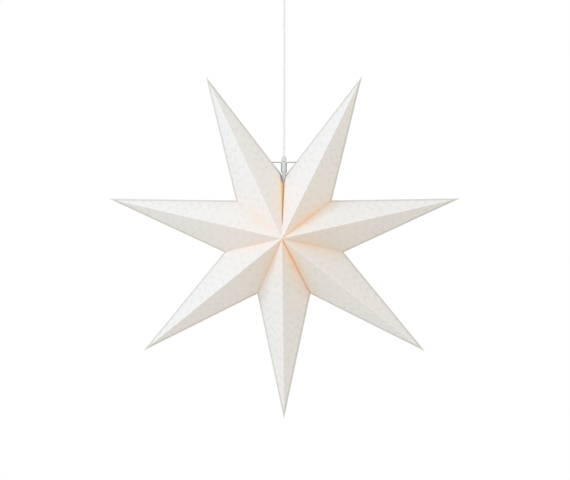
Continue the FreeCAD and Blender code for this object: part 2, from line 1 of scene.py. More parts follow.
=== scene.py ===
"""Folded paper star lantern on a straight flex: the visible surfaces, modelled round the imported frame."""

import json
import math

import bpy
from mathutils import Matrix, Vector, noise


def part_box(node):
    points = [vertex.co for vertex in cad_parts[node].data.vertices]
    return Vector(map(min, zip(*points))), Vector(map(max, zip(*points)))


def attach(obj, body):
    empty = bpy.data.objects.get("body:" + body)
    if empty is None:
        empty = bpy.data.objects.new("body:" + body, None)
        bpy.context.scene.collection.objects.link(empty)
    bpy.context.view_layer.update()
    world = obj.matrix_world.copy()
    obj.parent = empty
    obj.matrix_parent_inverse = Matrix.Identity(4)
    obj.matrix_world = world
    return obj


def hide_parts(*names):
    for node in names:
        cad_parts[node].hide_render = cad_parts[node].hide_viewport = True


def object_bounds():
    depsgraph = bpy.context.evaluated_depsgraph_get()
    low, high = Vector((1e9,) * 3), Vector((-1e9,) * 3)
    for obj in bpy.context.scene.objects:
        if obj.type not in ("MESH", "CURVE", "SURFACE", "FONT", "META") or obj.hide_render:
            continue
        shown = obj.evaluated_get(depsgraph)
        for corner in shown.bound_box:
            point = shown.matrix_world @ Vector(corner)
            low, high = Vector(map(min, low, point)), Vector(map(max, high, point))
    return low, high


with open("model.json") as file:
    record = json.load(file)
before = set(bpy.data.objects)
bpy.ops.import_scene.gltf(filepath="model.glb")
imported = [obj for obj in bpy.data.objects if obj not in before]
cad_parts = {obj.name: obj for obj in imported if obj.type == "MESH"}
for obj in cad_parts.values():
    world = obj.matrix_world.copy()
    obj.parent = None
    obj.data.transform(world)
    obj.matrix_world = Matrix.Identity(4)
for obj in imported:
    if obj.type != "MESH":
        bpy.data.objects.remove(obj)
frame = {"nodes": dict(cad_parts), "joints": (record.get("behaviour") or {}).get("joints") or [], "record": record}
CAD_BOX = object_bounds()

bl_info = {
    "name": "Paper star lantern",
    "version": (1, 0, 0),
    "blender": (4, 5, 0),
    "location": "3D View > Sidebar > Paper star",
    "description": "Builds a folded card star, its lamp and its ceiling fitting round the design frame",
    "category": "Add Mesh",
}

MM = 0.001
JOINTS = {joint["name"]: joint for joint in frame["joints"]}
BODY_OF = {
    node: body
    for body, nodes in frame["record"]["behaviour"]["bodies"].items()
    for node in nodes
}
POINT_NAMES = ("bottom", "lower_right", "right", "upper_right", "upper_left", "left", "lower_left")


def crease_end(joint_name):
    """Where a crease that starts at the front peak meets the star's centre plane."""
    start = Vector(JOINTS[joint_name]["pos_m"])
    way = Vector(JOINTS[joint_name]["axis"])
    return start - way * (start.y / way.y)


FRONT_PEAK = Vector(JOINTS["star_fold"]["pos_m"])
CENTRE = Vector((0.0, 0.0, FRONT_PEAK.z))
HALF_DEPTH = -FRONT_PEAK.y
TIP_RADIUS = (crease_end("star_fold") - CENTRE).length
FOOT_RADIUS = (crease_end("lower_left_valley") - CENTRE).length
HALF_LEAF = math.pi / len(POINT_NAMES)
CREASE_OVERLAP = 0.1 * MM               # panels run on into each other, so that no light leaks out
DAYLIGHT = Vector((-0.35, 0, 0.94))     # where the daylight comes from, seen from the front
# lamp light that shows in each valley, from the one right of the lowest point round to the one left of it
VALLEY_GLOW = (1.0, 0.35, 0.45, 0.15, 0.12, 0.2, 0.45)

# rounded top opening: its ends along the outline and the seam, and how far its curve is pulled from the foot
OPENING_OUTLINE = 16 * MM
OPENING_SEAM = 13 * MM
OPENING_PULL = 0.21
OPENING_CUTS = 9                        # straight cuts that make up the curve
SEAM_CLOSED_SHARE = 0.2                 # part of the seam, from the peak, whose edges aren't folded in

# seam flaps, measured along the seam from the peak and from the foot, and into the star
FLAP_FROM_PEAK = 14 * MM
FLAP_FROM_FOOT = 15 * MM
FLAP_DEPTH = 11 * MM
FLAP_FROM_SEAM = 0.45 * MM
FLAP_UV_OFFSET = 50 * MM                # sets the flap past the paler ridge band, painted highlight and wear, in the card's pattern

# printed zigzag on the card
STROKE_SPACING = 19 * MM
STROKE_RUN = 13 * MM                    # across the panel, from one turn of the zigzag to the next
STROKE_SLOPE = 0.85

COCKLE_SCALE = 22                       # waves to the metre, roughly
COCKLE_STEP = Vector((7.3, -3.1, 1.7))  # from one panel's cockling to the next one's
GRID_ALONG, GRID_ACROSS = 80, 20        # cells of a panel's sheet

BULB_LOW, BULB_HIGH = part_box("bulb_globe")
BULB_RADIUS = (BULB_HIGH.x - BULB_LOW.x) / 2
BULB_CENTRE = Vector((0.0, 0.0, BULB_LOW.z + BULB_RADIUS))
GLOW_CENTRE = (BULB_CENTRE + CENTRE) / 2


# ---------------------------------------------------------------- settings
def length(name, description, default):
    return bpy.props.FloatProperty(name=name, description=description, default=default, unit="LENGTH")


def hex_colour(name, what, default):
    return bpy.props.StringProperty(name=name, description=f"sRGB hex colour of {what}", default=default)


class CardSettings(bpy.types.PropertyGroup):
    thickness: length("Card thickness", "Thickness of the star's card", 0.3 * MM)
    swell: length("Panel swell", "How far the middle of a panel stands out", 0.9 * MM)
    cockle: length("Cockling", "Height of the card's soft unevenness", 0.7 * MM)
    colour: hex_colour("Card colour", "the card", "F6F7F5")
    glow: hex_colour("Glow colour", "lamp light through card", "FFA050")
    glow_far: hex_colour("Glow away from bulb", "the lamp light where it is faint", "FFCF90")
    seam_gold: hex_colour("Left seam edge", "the back-lit folded-in edge on the left", "E6C384")
    seam_cream: hex_colour("Right seam edge", "the back-lit folded-in edge on the right", "EAD3AC")
    glow_strength: bpy.props.FloatProperty(
        name="Glow strength", description="Lamp light through the card in a valley by the bulb",
        default=0.30, min=0.0)
    gape_left: length("Seam gape, left", "Width of the folded-in edge left of the seam", 8.6 * MM)
    gape_right: length("Seam gape, right", "Width of the folded-in edge right of the seam", 3.4 * MM)
    gape_depth: length("Seam depth", "How deep the folded-in edges meet", 5.0 * MM)


class LampSettings(bpy.types.PropertyGroup):
    plastic: hex_colour("Plastic colour", "the holder", "DCE3E0")
    flex: hex_colour("Flex colour", "the flex sheath", "F6F6F6")
    bulb: hex_colour("Bulb light", "the lit globe", "FFD9A0")
    bulb_strength: bpy.props.FloatProperty(
        name="Bulb strength", description="Emission of the frosted globe", default=6.0, min=0.0)
    sides: bpy.props.IntProperty(name="Sides", description="Facets round a turned part", default=64, min=12)


class FittingSettings(bpy.types.PropertyGroup):
    enamel: hex_colour("Cup colour", "the ceiling cup", "F1F0EC")


class StageSettings(bpy.types.PropertyGroup):
    distance: length("Camera distance", "Camera to the star's centre", 4.0)
    turn: bpy.props.FloatProperty(
        name="Camera turn", description="How far the camera stands to the star's right",
        default=math.radians(2.3), subtype="ANGLE")
    aside: length("Camera aside", "How far camera and aim stand to the star's right", 2.2 * MM)
    width: length("Width seen", "Width of the view at the star's centre", 1.140)
    rise: length("Aim below centre", "How far below the star's centre the camera aims", 2.8 * MM)


# ---------------------------------------------------------------- small tools
def linear(code):
    """sRGB hex code as a linear RGBA colour."""
    parts = [int(code[at:at + 2], 16) / 255 for at in (0, 2, 4)]
    return tuple(c / 12.92 if c <= 0.04045 else ((c + 0.055) / 1.055) ** 2.4 for c in parts) + (1.0,)


def deselect():
    if bpy.context.object and bpy.context.object.mode != "OBJECT":
        bpy.ops.object.mode_set(mode="OBJECT")
    bpy.ops.object.select_all(action="DESELECT")


def make_active(piece):
    deselect()
    piece.select_set(True)
    bpy.context.view_layer.objects.active = piece


def named(name):
    piece = bpy.context.active_object
    piece.name = name
    piece.data.name = name
    return piece


def settle(piece):
    """Puts a piece's place into its mesh, so that its object sits at the origin."""
    make_active(piece)
    bpy.ops.object.transform_apply(location=True, rotation=True, scale=True)
    return piece


def apply_modifier(piece, kind, **settings):
    make_active(piece)
    modifier = piece.modifiers.new(kind.title(), kind)
    for key, value in settings.items():
        setattr(modifier, key, value)
    bpy.ops.object.modifier_apply(modifier=modifier.name)


def smooth(piece, degrees=35):
    make_active(piece)
    bpy.ops.object.shade_smooth_by_angle(angle=math.radians(degrees))


def face_outwards(piece):
    make_active(piece)
    bpy.ops.object.mode_set(mode="EDIT")
    bpy.ops.mesh.select_all(action="SELECT")
    bpy.ops.mesh.remove_doubles(threshold=0.00001)
    bpy.ops.mesh.normals_make_consistent(inside=False)
    bpy.ops.object.mode_set(mode="OBJECT")


def turned(name, profile, sides):
    """Turned part: a ring is extruded and resized from one (radius, height) to the next, and back again."""
    deselect()
    radius, height = profile[0]
    bpy.ops.mesh.primitive_circle_add(
        vertices=sides, radius=radius, fill_type="NOTHING", location=(0, 0, height))
    piece = settle(named(name))
    bpy.ops.object.mode_set(mode="EDIT")
    bpy.ops.mesh.select_all(action="SELECT")
    for next_radius, next_height in (*profile[1:], profile[0]):
        bpy.ops.mesh.extrude_region_move(TRANSFORM_OT_translate={"value": (0, 0, next_height - height)})
        ratio = next_radius / radius
        bpy.ops.transform.resize(value=(ratio, ratio, 1), center_override=(0, 0, next_height))
        radius, height = next_radius, next_height
    bpy.ops.object.mode_set(mode="OBJECT")
    face_outwards(piece)
    return piece


def eased(profile, ease):
    """Rounds the corners of an open profile by cutting them twice; its two ends stay."""
    most_of_side = 0.3
    for cut in (ease, ease / 3):
        points = [Vector(stop) for stop in profile]
        profile = [tuple(points[0])]
        for before, corner, after in zip(points, points[1:], points[2:]):
            for other in (before, after):
                side = other - corner
                profile.append(tuple(corner + side * min(most_of_side, cut / side.length)))
        profile.append(tuple(points[-1]))
    return profile


def turned_in_place(name, node, outer, inner, material, ease):
    """Lathe-turned piece from two open profiles in mm, measured down from the top of the part it replaces.
    The outer one has its corners rounded."""
    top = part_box(node)[1].z
    outer, inner = ([(radius * MM, height * MM) for radius, height in side] for side in (outer, inner))
    profile = [(radius, top + height) for radius, height in eased(outer, ease) + inner]
    piece = turned(name, profile, bpy.context.scene.star_lamp.sides)
    smooth(piece, 40)
    finish_piece(piece, node, material)


# ---------------------------------------------------------------- materials
def add_node(tree, kind, settings=None, **links):
    """Adds a node, sets its properties and inputs, and links inputs to other nodes' sockets."""
    node = tree.nodes.new(kind)
    for key, value in (settings or {}).items():
        if isinstance(key, int) or key in node.inputs:
            node.inputs[key].default_value = value
        else:
            setattr(node, key, value)
    for key, socket in links.items():
        at = int(key[1:]) if key[0] == "_" and key[1:].isdigit() else key.replace("_", " ")
        tree.links.new(socket, node.inputs[at])
    return node


def new_material(name, colour, roughness, metallic=0.0, ior=1.5):
    material = bpy.data.materials.new(name)
    material.use_nodes = True
    tree = material.node_tree
    shader = tree.nodes["Principled BSDF"]
    shader.inputs["Base Color"].default_value = linear(colour)
    shader.inputs["Roughness"].default_value = roughness
    shader.inputs["Metallic"].default_value = metallic
    if metallic == 0.0:
        shader.inputs["IOR"].default_value = ior
    return material, tree, shader


def bump(tree, shader, height, strength, distance):
    node = add_node(tree, "ShaderNodeBump", {"Strength": strength, "Distance": distance}, Height=height)
    tree.links.new(node.outputs["Normal"], shader.inputs["Normal"])


def object_place(tree):
    return add_node(tree, "ShaderNodeTexCoord").outputs["Object"]


def noise_field(tree, scale, vector, **extra):
    """Noise of so many patches to the metre."""
    settings = {"Scale": scale, **{key.title(): value for key, value in extra.items()}}
    return add_node(tree, "ShaderNodeTexNoise", settings, Vector=vector).outputs["Fac"]


def spread(tree, point, place):
    """Distance of the surface from a point."""
    return add_node(tree, "ShaderNodeVectorMath", {"operation": "DISTANCE", 1: tuple(point)},
                    _0=place).outputs["Value"]


def calc(tree, operation, a, b=None, c=None):
    """One step of arithmetic on sockets or numbers."""
    node = add_node(tree, "ShaderNodeMath", {"operation": operation})
    for at, value in enumerate((a, b, c)):
        if value is None:
            continue
        if isinstance(value, (int, float)):
            node.inputs[at].default_value = value
        else:
            tree.links.new(value, node.inputs[at])
    return node.outputs[0]


def mixed(tree, base, tone, factor):
    """A colour socket or hex, turned towards another hex by a factor socket."""
    mix = add_node(tree, "ShaderNodeMix", {"data_type": "RGBA"})
    if isinstance(base, str):
        mix.inputs[6].default_value = linear(base)
    else:
        tree.links.new(base, mix.inputs[6])
    mix.inputs[7].default_value = linear(tone)
    tree.links.new(factor, mix.inputs[0])
    return mix.outputs[2]


def tinted(tree, shader, colour, darker, factor):
    """Colour that varies between two shades of itself."""
    tree.links.new(mixed(tree, colour, darker, factor), shader.inputs["Base Color"])


def fade(tree, value, near, far):
    """1 up to near, 0 from far on, soft between."""
    node = add_node(tree, "ShaderNodeMapRange", {"interpolation_type": "SMOOTHSTEP", "From Min": near,
                    "From Max": far, "To Min": 1.0, "To Max": 0.0}, Value=value)
    return node.outputs["Result"]


def off_line(tree, along, across, point, way):
    """Distance of the surface point from a line of the panel, positive to the left of its way."""
    normal = Vector((-way.y, way.x)).normalized()
    first = calc(tree, "MULTIPLY_ADD", along, normal.x, -point.dot(normal))
    return calc(tree, "MULTIPLY_ADD", across, normal.y, first)


def card_material(name, card, gape=None, strip=None):
    """Matt uncoated card, about 240 g, printed with a pale brushed zigzag. The crease of each ridge is paler: a
    painted highlight, partly the card's cracked fibres. The glue flap along the outline doubles the card and lets
    less lamp light through, painted as a greyer band. Lamp light shows warm near the valleys, with painted shade
    along each valley crease, and, at the gaping seam, gold on the folded-in edges, with painted shade in the
    narrow gap between them, at their upper ends and along the cut edge of the opening."""
    material, tree, shader = new_material(name, card.colour, 0.85, ior=1.45)
    shader.inputs["Specular IOR Level"].default_value = 0.2
    ridge, foot_x, foot_y = panel_shape()
    foot, tip, peak = Vector((foot_x, foot_y)), Vector((ridge, 0)), Vector((0, 0))
    place = add_node(tree, "ShaderNodeUVMap", {"uv_map": "Card"}).outputs["UV"]
    split = add_node(tree, "ShaderNodeSeparateXYZ", Vector=place)
    along, across = split.outputs["X"], split.outputs["Y"]
    from_valley = off_line(tree, along, across, foot, peak - foot)
    from_outline = off_line(tree, along, across, tip, foot - tip)

    def product(a, b):
        return calc(tree, "MULTIPLY", a, b)

    def inverse(a):
        return calc(tree, "SUBTRACT", 1.0, a)

    # zigzag: soft strokes across the panel, broken up where the brush ran dry
    swing = calc(tree, "PINGPONG", across, STROKE_RUN)
    height = calc(tree, "MULTIPLY_ADD", swing, STROKE_SLOPE, along)
    band = calc(tree, "FRACT", calc(tree, "DIVIDE", height, STROKE_SPACING))
    line = fade(tree, calc(tree, "ABSOLUTE", calc(tree, "SUBTRACT", band, 0.5)), 0.02, 0.24)
    broken = noise_field(tree, 95.0, place, detail=3.0, roughness=0.6)
    patchy = noise_field(tree, 17.0, place, detail=2.0)
    kept = product(inverse(fade(tree, broken, 0.36, 0.54)), inverse(fade(tree, patchy, 0.3, 0.56)))
    mark = product(line, kept)

    # fibres as 1.5 mm flecks; painted highlight along the ridge, partly the card's cracked fibres; painted shade
    # where the glue flap doubles the card and lets less lamp light through
    fleck = noise_field(tree, 640.0, place, detail=4.0, roughness=0.7)
    colour = mixed(tree, card.colour, "C9C0B2",
                   calc(tree, "MULTIPLY_ADD", fleck, 0.12, product(mark, 0.18)))
    # painted highlight along the ridge crease, partly the card's cracked fibres
    ridge_highlight_and_wear = fade(tree, across, 0.4 * MM, 3.2 * MM)
    colour = mixed(tree, colour, "FFFFFF", product(ridge_highlight_and_wear, 0.45))
    # painted shade: the glue flap doubles the card near the outline and lets less lamp light through
    flap_shade = fade(tree, from_outline, 4.5 * MM, 6.5 * MM)
    colour = mixed(tree, colour, "CFCEC4", product(flap_shade, 0.6))

    # lamp light: a broad warm bloom round the bulb and a stronger one along each valley
    reach = spread(tree, GLOW_CENTRE, object_place(tree))
    bloom = calc(tree, "POWER", calc(tree, "DIVIDE", 0.075, reach), 2.2)
    share = add_node(tree, "ShaderNodeAttribute", {"attribute_name": "valley_glow"}).outputs["Fac"]
    crease = product(calc(tree, "EXPONENT", calc(tree, "DIVIDE", from_valley, -0.011)), share)
    glow = product(bloom, calc(tree, "ADD", crease, 0.16))
    glow = product(glow, calc(tree, "MULTIPLY_ADD", patchy, 0.5, 0.75))
    glow = calc(tree, "MINIMUM", glow, 1.0)
    colour = mixed(tree, colour, "DDA878", product(glow, 0.7))
    # painted shade: a thin dark line along each valley crease, strongest where the lamp light is
    valley_crease_shade = product(fade(tree, from_valley, 0.3 * MM, 2.2 * MM), product(share, share))
    colour = mixed(tree, colour, "8A5F3C", product(valley_crease_shade, 0.5))

    # panels turned away from the daylight look warmer, most of all near the bulb
    shade = add_node(tree, "ShaderNodeAttribute", {"attribute_name": "shade"}).outputs["Fac"]
    warmth = calc(tree, "MINIMUM", calc(tree, "MULTIPLY_ADD", bloom, 0.17, 0.11), 0.3)
    colour = mixed(tree, colour, "CDB48C", product(warmth, shade))
    emission = product(glow, card.glow_strength)
    light = mixed(tree, card.glow_far, card.glow, glow)

    if gape:
        from_foot = spread(tree, (*foot, 0.0), place)
        wall = off_line(tree, along, across, *gape_line(gape))
        folded = fade(tree, product(wall, -1.0), -0.3 * MM, 0.3 * MM)
        upper = fade(tree, from_foot, 12 * MM, 16 * MM)
        gold = product(folded, inverse(upper))
        colour = mixed(tree, colour, strip, product(gold, 0.95))
        # painted shade on the upper end of the folded-in edge, by the opening
        colour = mixed(tree, colour, "B7A79C", product(folded, upper))
        emission = calc(tree, "MULTIPLY_ADD", gold, card.glow_strength * 0.55, emission)
        light = mixed(tree, light, "FFDFA2", gold)

        # painted shade: a dark line in the narrow gap where the two folded-in edges meet, with no lamp light in it
        slit_shade = product(fade(tree, from_valley, 0.9 * MM, 3.0 * MM), gold)
        colour = mixed(tree, colour, "4E3A1E", product(slit_shade, 0.8))
        emission = product(emission, inverse(slit_shade))

        # painted shade along the cut edge of the rounded opening
        centre, radius = opening_arc()
        from_cut = calc(tree, "ABSOLUTE", calc(tree, "SUBTRACT", spread(tree, (*centre, 0.0), place), radius))
        edge = product(fade(tree, from_cut, 0.9 * MM, 2.0 * MM), fade(tree, from_foot, 24 * MM, 30 * MM))
        colour = mixed(tree, colour, "8C807A", product(edge, 0.75))
    tree.links.new(colour, shader.inputs["Base Color"])
    tree.links.new(light, shader.inputs["Emission Color"])
    tree.links.new(emission, shader.inputs["Emission Strength"])
    bump(tree, shader, calc(tree, "MULTIPLY_ADD", mark, -0.5, fleck), 0.35, 0.08 * MM)
    return material


def plastic_material(name, colour, roughness, grain_mm):
    """Moulded thermoplastic: even colour, satin, with the fine spark-eroded grain of the mould."""
    material, tree, shader = new_material(name, colour, roughness, ior=1.49)
    place = object_place(tree)
    bump(tree, shader, noise_field(tree, 1.0 / (grain_mm * MM), place, detail=2.0), 0.25, 0.03 * MM)
    darker = "".join(f"{int(int(colour[at:at + 2], 16) * 0.93):02X}" for at in (0, 2, 4))
    tinted(tree, shader, colour, darker, calc(tree, "MULTIPLY", noise_field(tree, 60.0, place), 0.6))
    return material


def drawn_metal(name, colour, roughness, line_mm):
    """Drawn or rolled metal with a thin zinc, nickel or antiqued finish: fine scratches and dull patches."""
    material, tree, shader = new_material(name, colour, roughness, metallic=1.0)
    place = object_place(tree)
    stretched = add_node(tree, "ShaderNodeMapping", {"Scale": (1.0, 1.0, 0.12)}, Vector=place)
    scratch = noise_field(tree, 1.0 / (line_mm * MM), stretched.outputs["Vector"], detail=3.0)
    patch = noise_field(tree, 180.0, place, detail=2.0)
    varied = 0.18
    rough = calc(tree, "MULTIPLY_ADD", patch, varied, roughness - varied / 2)
    tree.links.new(rough, shader.inputs["Roughness"])
    bump(tree, shader, scratch, 0.2, 0.02 * MM)
    return material


def frosted_bulb_material(lamp):
    """Opal polycarbonate globe, lit from inside, with faint warm clouding in the plastic."""
    material, tree, shader = new_material("opal_globe_lit", "FFF3E0", 0.35, ior=1.58)
    tinted(tree, shader, "FFF6E6", "FFE6C4", noise_field(tree, 45.0, object_place(tree)))
    shader.inputs["Emission Color"].default_value = linear(lamp.bulb)
    shader.inputs["Emission Strength"].default_value = lamp.bulb_strength
    return material


def flex_material(lamp):
    """Extruded PVC flex sheath: satin, off-white, with a faint lay of the cores showing along it."""
    material, tree, shader = new_material("pvc_flex_sheath", lamp.flex, 0.42, ior=1.53)
    place = object_place(tree)
    wave = add_node(tree, "ShaderNodeTexWave",
                    {"bands_direction": "Z", "Scale": 18.0, "Distortion": 1.5}, Vector=place)
    bump(tree, shader, wave.outputs["Fac"], 0.1, 0.02 * MM)
    tinted(tree, shader, lamp.flex, "D2D2D0", calc(tree, "MULTIPLY", wave.outputs["Fac"], 0.12))
    return material


def dress(node_name, material):
    """Gives a carried-over frame part its material."""
    mesh = frame["nodes"][node_name].data
    mesh.materials.clear()
    mesh.materials.append(material)


def finish_piece(piece, node_name, material):
    """Material, body and replaced frame part of a modelled piece."""
    piece.data.materials.clear()
    piece.data.materials.append(material)
    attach(piece, BODY_OF[node_name])
    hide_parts(node_name)


# ---------------------------------------------------------------- card panels
def polar(radius, turn):
    """Point of the star's centre plane; turn is measured from straight down, towards +X."""
    return CENTRE + Vector((radius * math.sin(turn), 0.0, -radius * math.cos(turn)))


def panel_shape():
    """Length of the ridge, and the foot's place beside it, in the panel's own plane."""
    tip, foot = polar(TIP_RADIUS, 0), polar(FOOT_RADIUS, HALF_LEAF)
    ridge = tip - FRONT_PEAK
    along = ridge.normalized()
    reach = foot - FRONT_PEAK
    foot_along = reach.dot(along)
    return ridge.length, foot_along, (reach - along * foot_along).length


def opening_points():
    """Ends and control point of the rounded top opening, in the panel's plane."""
    ridge, foot_x, foot_y = panel_shape()
    foot = Vector((foot_x, foot_y))
    high = foot + (Vector((ridge, 0)) - foot).normalized() * OPENING_OUTLINE
    low = foot - foot.normalized() * OPENING_SEAM
    pull = foot + ((high - foot) + (low - foot)) * OPENING_PULL
    return high, pull, low


def opening_arc():
    """Circle through the opening's ends and its middle: centre and radius."""
    high, pull, low = opening_points()
    middle = (high + low) / 4 + pull / 2
    a, b = middle - high, low - high
    cross = 2 * (a.x * b.y - a.y * b.x)
    centre = high + Vector((b.y * a.length_squared - a.y * b.length_squared,
                            a.x * b.length_squared - b.x * a.length_squared)) / cross
    return centre, (high - centre).length


def gape_line(gape):
    """Crease of the folded-in seam edge: it leaves the seam near the peak and is widest at the opening."""
    low = opening_points()[2]
    way = low.normalized()
    start = low * SEAM_CLOSED_SHARE
    end = low + Vector((way.y, -way.x)) * gape
    return start, end - start


def bisect(point, away, trim=True):
    """Cuts the sheet along a line of its own plane, and trims what lies past it."""
    bpy.ops.mesh.select_all(action="SELECT")
    bpy.ops.mesh.bisect(plane_co=(*point, 0), plane_no=(*away, 0), clear_outer=trim, use_fill=False)


def panel_blank(name, gape=None):
    """Flat card triangle: ridge along +X from the peak, foot on the +Y side, cut from a gridded sheet."""
    ridge, foot_x, foot_y = panel_shape()
    foot, tip = Vector((foot_x, foot_y)), Vector((ridge, 0))
    deselect()
    bpy.ops.mesh.primitive_grid_add(x_subdivisions=GRID_ALONG, y_subdivisions=GRID_ACROSS, size=1.0)
    panel = named(name)
    bpy.ops.object.mode_set(mode="EDIT")
    bpy.ops.mesh.select_all(action="SELECT")
    bpy.ops.transform.resize(value=(ridge + 2 * CREASE_OVERLAP, foot_y + 2 * CREASE_OVERLAP, 1))
    bpy.ops.transform.translate(value=(ridge / 2, foot_y / 2, 0))
    for start, end in ((Vector((0, 0)), foot), (foot, tip)):
        way = (end - start).normalized()
        away = Vector((-way.y, way.x))
        bisect(start + away * CREASE_OVERLAP, away)
    if gape:
        high, pull, low = opening_points()
        for step in range(OPENING_CUTS):
            t = (step + 0.5) / OPENING_CUTS
            at = high * (1 - t) ** 2 + pull * 2 * t * (1 - t) + low * t * t
            way = (pull - high) * (1 - t) + (low - pull) * t
            away = Vector((way.y, -way.x))
            bisect(at, away if away.dot(foot - at) > 0 else -away)
        start, way = gape_line(gape)
        bisect(start, Vector((-way.y, way.x)), trim=False)
    bpy.ops.object.mode_set(mode="OBJECT")
    face_outwards(panel)
    if panel.data.polygons[0].normal.z < 0:
        panel.data.flip_normals()
    layer = panel.data.uv_layers.new(name="Card")
    for loop in panel.data.loops:
        layer.data[loop.index].uv = panel.data.vertices[loop.vertex_index].co.xy
    return panel


def fold_in_seam(panel, gape, depth, seam_cosine):
    """Past its crease the seam edge goes into the star along the seam plane, deepest at the opening."""
    start, way = gape_line(gape)
    normal = Vector((-way.y, way.x)).normalized()
    valley = start.normalized()
    seam_sine = math.sqrt(1 - seam_cosine ** 2)
    for vertex in panel.data.vertices:
        past = (vertex.co.xy - start).dot(normal)
        if past > 0 and vertex.co.xy.dot(valley) > start.length:
            inward = past * depth / gape
            across = inward * seam_cosine
            vertex.co.x -= valley.y * across
            vertex.co.y += valley.x * across
            vertex.co.z -= inward * seam_sine


def seam_flap(name, face, side, card):
    """Flap that goes on into the star from a folded-in seam edge, close to its partner."""
    peak = CENTRE + Vector((0, -HALF_DEPTH if face == "front" else HALF_DEPTH, 0))
    foot = polar(FOOT_RADIUS, math.pi)
    way = (foot - peak).normalized()
    inward = Vector((0, -way.z, way.y)) if face == "back" else Vector((0, way.z, -way.y))
    start, end = peak + way * FLAP_FROM_PEAK, foot - way * FLAP_FROM_FOOT
    deselect()
    bpy.ops.mesh.primitive_plane_add(size=1.0, location=(0.5, 0.5, 0))
    flap = settle(named(name))
    turn = Matrix((end - start, inward * FLAP_DEPTH, Vector((side, 0, 0)))).transposed().to_4x4()
    flap.data.transform(Matrix.Translation(start + Vector((side * FLAP_FROM_SEAM, 0, 0))) @ turn)
    apply_modifier(flap, "SOLIDIFY", thickness=card.thickness, offset=0.0)
    face_outwards(flap)
    layer = flap.data.uv_layers.new(name="Card")
    for loop in flap.data.loops:
        place = flap.data.vertices[loop.vertex_index].co - peak
        layer.data[loop.index].uv = (place.dot(way), FLAP_UV_OFFSET + place.dot(inward))
    return flap


def swell_panel(panel, card, seed):
    """The card stands out a little between its creases, and cockles softly, but stays put along its edges."""
    ridge, foot_x, foot_y = panel_shape()
    for vertex in panel.data.vertices:
        x, y, _ = vertex.co
        from_outline_share = y / foot_y
        from_tip_share = (x - foot_x * from_outline_share) / ridge
        from_peak_share = 1.0 - from_outline_share - from_tip_share
        # 1 at the middle of the panel, 0 along its edges
        inside = max(0.0, 27 * from_outline_share * from_tip_share * from_peak_share)
        cockle = noise.noise(Vector((x * COCKLE_SCALE, y * COCKLE_SCALE, 0)) + seed * COCKLE_STEP)
        vertex.co.z = inside * card.swell + min(1.0, inside * 2) * card.cockle * cockle


def panel_matrix(peak, tip, foot):
    """Moves a blank from its own plane to its place in the star; also says whether it turns it over."""
    along = (tip - peak).normalized()
    reach = foot - peak
    across = (reach - along * reach.dot(along)).normalized()
    outward = along.cross(across)
    turned_over = outward.dot(peak - CENTRE) < 0
    if turned_over:
        outward = -outward
    rotation = Matrix((along, across, outward)).transposed().to_4x4()
    return Matrix.Translation(peak) @ rotation, turned_over


def panel_places():
    """Every panel as (node, peak, tip, foot, on the seam, valley), going round from the lowest point.
    The seam lies between the fourth and the fifth point."""
    for face, peak_y in (("front", -HALF_DEPTH), ("back", HALF_DEPTH)):
        peak = CENTRE + Vector((0, peak_y, 0))
        for order, point in enumerate(POINT_NAMES):
            turn = 2 * HALF_LEAF * order
            side = 1 if order <= 3 else -1
            for half, way in (("lower", -side), ("upper", side)):
                label = half if order else ("left" if way < 0 else "right")
                at_seam = half == "upper" and order in (3, 4)
                valley = (order + (way - 1) // 2) % len(POINT_NAMES)
                yield (f"{point}_point_{face}_{label}", peak, polar(TIP_RADIUS, turn),
                       polar(FOOT_RADIUS, turn + way * HALF_LEAF), at_seam, valley)


class STAR_OT_card_panels(bpy.types.Operator):
    """Folds the star's twenty-eight card panels"""
    bl_idname = "star.card_panels"
    bl_label = "Card panels"

    def execute(self, context):
        card = context.scene.star_card
        gapes = {None: None, -1: card.gape_left, 1: card.gape_right}
        names = {None: "uncoated_card", -1: "uncoated_card_seam_left", 1: "uncoated_card_seam_right"}
        blanks = {side: panel_blank("blank_" + names[side], gape) for side, gape in gapes.items()}
        strips = {None: None, -1: card.seam_gold, 1: card.seam_cream}
        materials = {side: card_material(names[side], card, gape, strips[side])
                     for side, gape in gapes.items()}
        for seed, (node, peak, tip, foot, at_seam, valley) in enumerate(panel_places()):
            side = (1 if tip.x > 0 else -1) if at_seam else None
            panel = blanks[side].copy()
            panel.data = blanks[side].data.copy()
            context.collection.objects.link(panel)
            panel.name = panel.data.name = node.replace("_point_", "_card_")
            swell_panel(panel, card, seed)
            matrix, turned_over = panel_matrix(peak, tip, foot)
            if at_seam:
                fold_in_seam(panel, gapes[side], card.gape_depth, abs(matrix.col[2].x))
            # 0 on panels that lean towards the daylight, 1 on those that lean away from it
            lean = matrix.col[2].xyz * Vector((1, 0, 1))
            shade = (0.5 - 0.5 * lean.normalized().dot(DAYLIGHT)) ** 3
            for layer_name, value in (("valley_glow", VALLEY_GLOW[valley]), ("shade", shade)):
                layer = panel.data.attributes.new(layer_name, "FLOAT", "POINT")
                layer.data.foreach_set("value", [value] * len(panel.data.vertices))
            panel.data.transform(matrix)
            if turned_over:
                panel.data.flip_normals()
            apply_modifier(panel, "SOLIDIFY", thickness=card.thickness, offset=0.0)
            smooth(panel)
            finish_piece(panel, node, materials[side])
        for blank in blanks.values():
            bpy.data.objects.remove(blank)
        for face in ("front", "back"):
            for side, half in ((-1, "left"), (1, "right")):
                flap = seam_flap(f"seam_flap_{face}_{half}", face, side, card)
                finish_piece(flap, f"upper_{half}_point_{face}_upper", materials[None])
        return {"FINISHED"}


STUD_RIMS = {"stud_post": 3.8 * MM, "stud_ring": 3.6 * MM}


